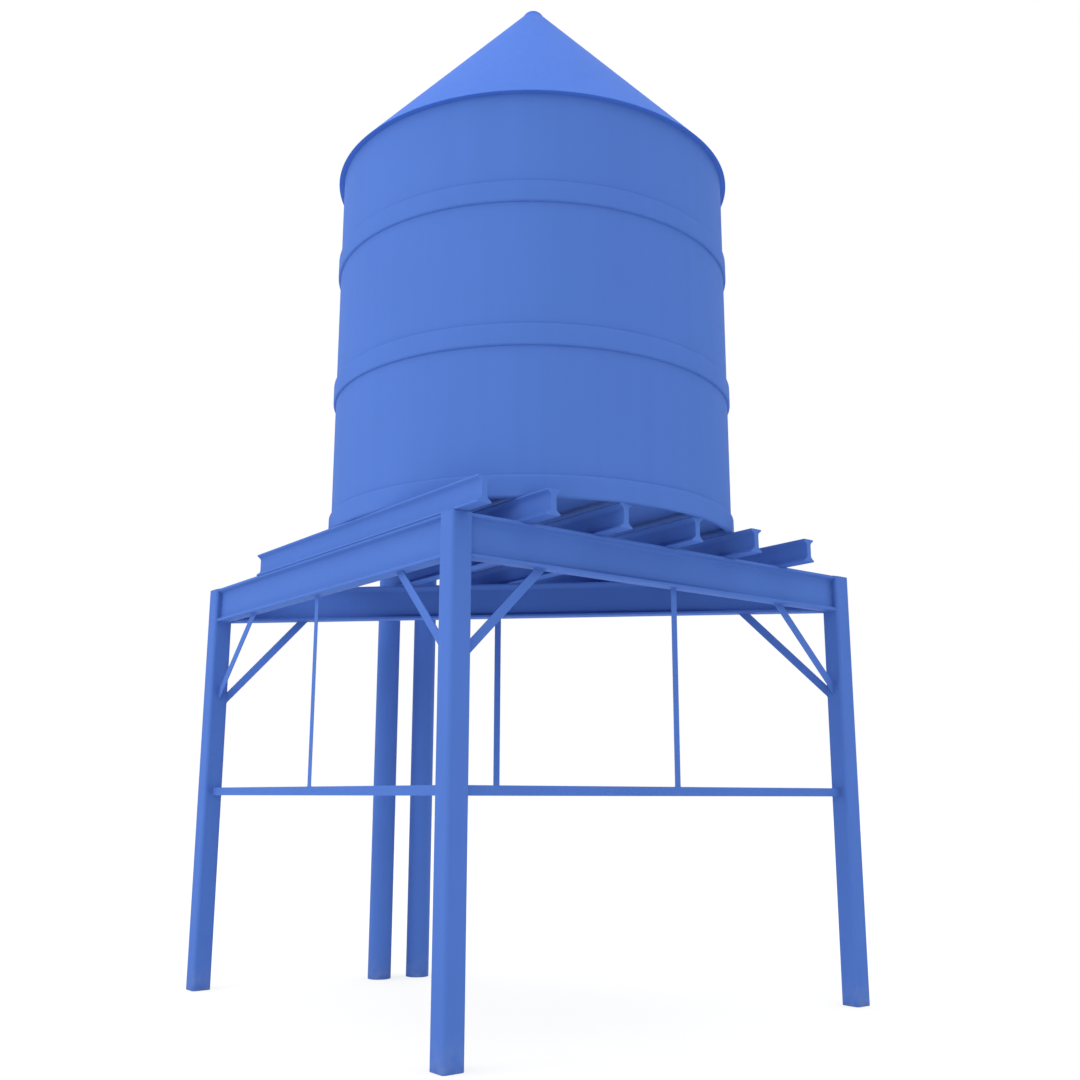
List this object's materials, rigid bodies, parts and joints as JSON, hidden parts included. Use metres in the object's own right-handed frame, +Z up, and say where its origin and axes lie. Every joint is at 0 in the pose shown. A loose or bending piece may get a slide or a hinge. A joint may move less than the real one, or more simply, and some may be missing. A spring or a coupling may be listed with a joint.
{
  "type": "water tower",
  "caption": "Round steel water tank with hoops and a conical roof, on a legged girder stand with knee braces, flat struts and riser pipes.",
  "frame": {"origin": "centre of the bounding box, on the ground at the feet", "axes": "+Z up; +X from the front leg to the right leg; +Y from the front leg to the left leg"},
  "size_m": [4.1542, 4.4782, 8.7855],
  "materials": {
    "blue_paint": "matte"
  },
  "bodies": {
    "root": {"front_leg": "blue_paint", "left_leg": "blue_paint", "right_leg": "blue_paint", "front_left_girder": "blue_paint", "front_right_girder": "blue_paint", "back_girder": "blue_paint", "joist_1": "blue_paint", "joist_2": "blue_paint", "joist_3": "blue_paint", "joist_4": "blue_paint", "joist_5": "blue_paint", "joist_6": "blue_paint", "front_left_strut": "blue_paint", "front_right_strut": "blue_paint", "back_strut": "blue_paint", "front_left_hanger": "blue_paint", "front_right_hanger": "blue_paint", "back_hanger": "blue_paint", "front_leg_brace_front_left": "blue_paint", "front_leg_brace_front_right": "blue_paint", "left_leg_brace_front_left": "blue_paint", "left_leg_brace_back": "blue_paint", "right_leg_brace_front_right": "blue_paint", "right_leg_brace_back": "blue_paint", "inlet_riser": "blue_paint", "inlet_elbow": "blue_paint", "inlet_branch": "blue_paint", "outlet_riser": "blue_paint", "outlet_elbow": "blue_paint", "outlet_branch": "blue_paint", "tank_bottom": "blue_paint", "tank_wall_1": "blue_paint", "tank_wall_2": "blue_paint", "tank_wall_3": "blue_paint", "tank_wall_4": "blue_paint", "tank_wall_5": "blue_paint", "tank_wall_6": "blue_paint", "tank_wall_7": "blue_paint", "tank_wall_8": "blue_paint", "bottom_band": "blue_paint", "middle_band": "blue_paint", "upper_band": "blue_paint", "roof_cone": "blue_paint", "roof_cap": "blue_paint"}
  },
  "joints": []
}
